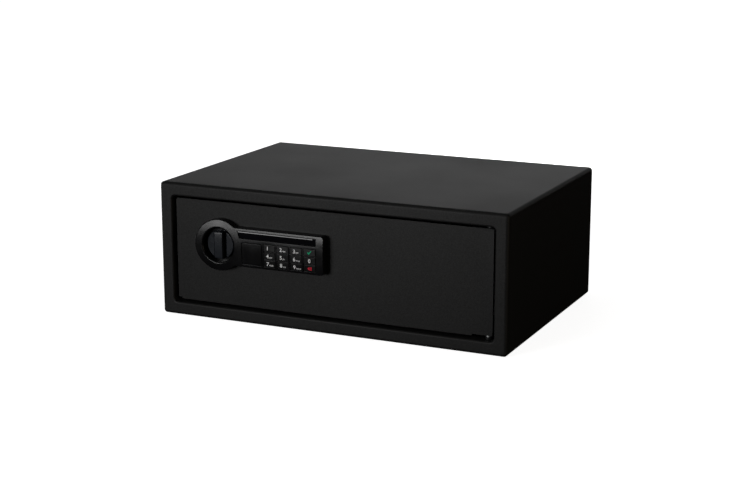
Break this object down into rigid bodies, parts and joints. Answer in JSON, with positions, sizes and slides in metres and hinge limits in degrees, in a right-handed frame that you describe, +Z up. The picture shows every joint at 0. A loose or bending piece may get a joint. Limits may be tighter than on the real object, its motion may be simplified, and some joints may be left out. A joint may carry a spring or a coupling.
{
  "type": "electronic safe",
  "caption": "Wide, low steel safe with a flanged front, a right-hinged door, sliding bolts and a lock module with a sunken knob and a push-button keypad.",
  "frame": {"origin": "middle of the underside", "axes": "+X right seen from the front, +Y to the back, +Z up"},
  "size_m": [0.45, 0.3121, 0.165],
  "materials": {
    "coated_steel": "fine textured black powder coat",
    "zinc_steel": "zinc plated",
    "bright_steel": "turned, nickel plated",
    "brass": "satin",
    "black_plastic": "satin moulded",
    "knob_plastic": "satin, slightly blue",
    "dark_plastic": "matt moulded",
    "gloss_black": "gloss",
    "key_rubber": "matt silicone rubber",
    "red_plastic": "semi-gloss",
    "circuit_board": "solder mask",
    "copper_coil": "enamelled winding",
    "cell_sleeve": "printed sleeve",
    "felt": "needled felt",
    "lead_sheath": "flexible sheath"
  },
  "bodies": {
    "body": {"outer_shell": "coated_steel", "back_panel": "coated_steel", "front_frame": "coated_steel", "hinge_plate_lower": "coated_steel", "hinge_plate_upper": "coated_steel", "door_stop": "coated_steel", "floor_mat": "felt"},
    "door": {"door_plate": "coated_steel", "hinge_block_lower": "coated_steel", "hinge_block_upper": "coated_steel", "hinge_pin_lower": "zinc_steel", "hinge_pin_upper": "zinc_steel", "bolt_guide": "zinc_steel", "rear_cover": "coated_steel", "cover_nut_1": "zinc_steel", "cover_nut_2": "zinc_steel", "cover_nut_3": "zinc_steel", "cover_nut_4": "zinc_steel", "battery_tray": "dark_plastic", "battery_1": "cell_sleeve", "battery_2": "cell_sleeve", "battery_3": "cell_sleeve", "battery_4": "cell_sleeve", "control_board": "circuit_board", "solenoid_frame": "zinc_steel", "solenoid_coil": "copper_coil", "plunger_spring": "bright_steel", "spindle_bush": "dark_plastic", "module_housing": "black_plastic", "indicator_lens": "gloss_black", "override_lock_body": "brass", "keypad_membrane": "dark_plastic", "keypad_board": "circuit_board", "keypad_lead": "lead_sheath", "battery_lead": "lead_sheath", "solenoid_lead": "lead_sheath"},
    "boltwork": {"bolt_bar": "zinc_steel", "bolt_lower": "bright_steel", "bolt_upper": "bright_steel"},
    "knob": {"knob": "knob_plastic", "knob_spindle": "bright_steel", "bolt_cam": "zinc_steel"},
    "plunger": {"solenoid_plunger": "bright_steel"},
    "lock_plug": {"override_lock_plug": "brass"},
    "key_cover": {"key_cover": "black_plastic"},
    "battery_lid": {"battery_lid": "dark_plastic"},
    "reset_button": {"reset_button": "red_plastic"},
    "key_1": {"key_1": "key_rubber"},
    "key_2": {"key_2": "key_rubber"},
    "key_3": {"key_3": "key_rubber"},
    "key_enter": {"key_enter": "key_rubber"},
    "key_4": {"key_4": "key_rubber"},
    "key_5": {"key_5": "key_rubber"},
    "key_6": {"key_6": "key_rubber"},
    "key_0": {"key_0": "key_rubber"},
    "key_7": {"key_7": "key_rubber"},
    "key_8": {"key_8": "key_rubber"},
    "key_9": {"key_9": "key_rubber"},
    "key_clear": {"key_clear": "key_rubber"}
  },
  "joints": [
    {"name": "door_hinge", "type": "hinge", "parent": "body", "child": "door", "pos_m": [0.199, -0.1395, 0.0825], "axis": [0, 0, 1], "range_deg": [0, 100]},
    {"name": "knob_turn", "type": "hinge", "parent": "door", "child": "knob", "pos_m": [-0.1417, -0.1525, 0.09465], "axis": [0, -1, 0], "range_deg": [0, 90]},
    {"name": "bolt_slide", "type": "slide", "parent": "door", "child": "boltwork", "axis": [-1, 0, 0], "range_m": [0, 0.015]},
    {"name": "plunger_slide", "type": "slide", "parent": "door", "child": "plunger", "axis": [0, 0, 1], "range_m": [0, 0.005], "deforming": ["plunger_spring"]},
    {"name": "override_lock_turn", "type": "hinge", "parent": "door", "child": "lock_plug", "pos_m": [-0.0957, -0.15, 0.0884], "axis": [0, -1, 0], "range_deg": [0, 90]},
    {"name": "key_cover_pull", "type": "slide", "parent": "door", "child": "key_cover", "axis": [0, -1, 0], "range_m": [0, 0.02]},
    {"name": "battery_lid_slide", "type": "slide", "parent": "door", "child": "battery_lid", "axis": [1, 0, 0], "range_m": [0, 0.052]},
    {"name": "reset_button_press", "type": "slide", "parent": "door", "child": "reset_button", "axis": [0, -1, 0], "range_m": [0, 0.0012], "stiffness_N_per_m": 400},
    {"name": "key_1_press", "type": "slide", "parent": "door", "child": "key_1", "axis": [0, 1, 0], "range_m": [0, 0.0009], "stiffness_N_per_m": 400},
    {"name": "key_2_press", "type": "slide", "parent": "door", "child": "key_2", "axis": [0, 1, 0], "range_m": [0, 0.0009], "stiffness_N_per_m": 400},
    {"name": "key_3_press", "type": "slide", "parent": "door", "child": "key_3", "axis": [0, 1, 0], "range_m": [0, 0.0009], "stiffness_N_per_m": 400},
    {"name": "key_enter_press", "type": "slide", "parent": "door", "child": "key_enter", "axis": [0, 1, 0], "range_m": [0, 0.0009], "stiffness_N_per_m": 400},
    {"name": "key_4_press", "type": "slide", "parent": "door", "child": "key_4", "axis": [0, 1, 0], "range_m": [0, 0.0009], "stiffness_N_per_m": 400},
    {"name": "key_5_press", "type": "slide", "parent": "door", "child": "key_5", "axis": [0, 1, 0], "range_m": [0, 0.0009], "stiffness_N_per_m": 400},
    {"name": "key_6_press", "type": "slide", "parent": "door", "child": "key_6", "axis": [0, 1, 0], "range_m": [0, 0.0009], "stiffness_N_per_m": 400},
    {"name": "key_0_press", "type": "slide", "parent": "door", "child": "key_0", "axis": [0, 1, 0], "range_m": [0, 0.0009], "stiffness_N_per_m": 400},
    {"name": "key_7_press", "type": "slide", "parent": "door", "child": "key_7", "axis": [0, 1, 0], "range_m": [0, 0.0009], "stiffness_N_per_m": 400},
    {"name": "key_8_press", "type": "slide", "parent": "door", "child": "key_8", "axis": [0, 1, 0], "range_m": [0, 0.0009], "stiffness_N_per_m": 400},
    {"name": "key_9_press", "type": "slide", "parent": "door", "child": "key_9", "axis": [0, 1, 0], "range_m": [0, 0.0009], "stiffness_N_per_m": 400},
    {"name": "key_clear_press", "type": "slide", "parent": "door", "child": "key_clear", "axis": [0, 1, 0], "range_m": [0, 0.0009], "stiffness_N_per_m": 400}
  ],
  "couplings": [
    {"joint": "knob_turn", "follows": "bolt_slide", "rad_per_m": 104.72}
  ]
}
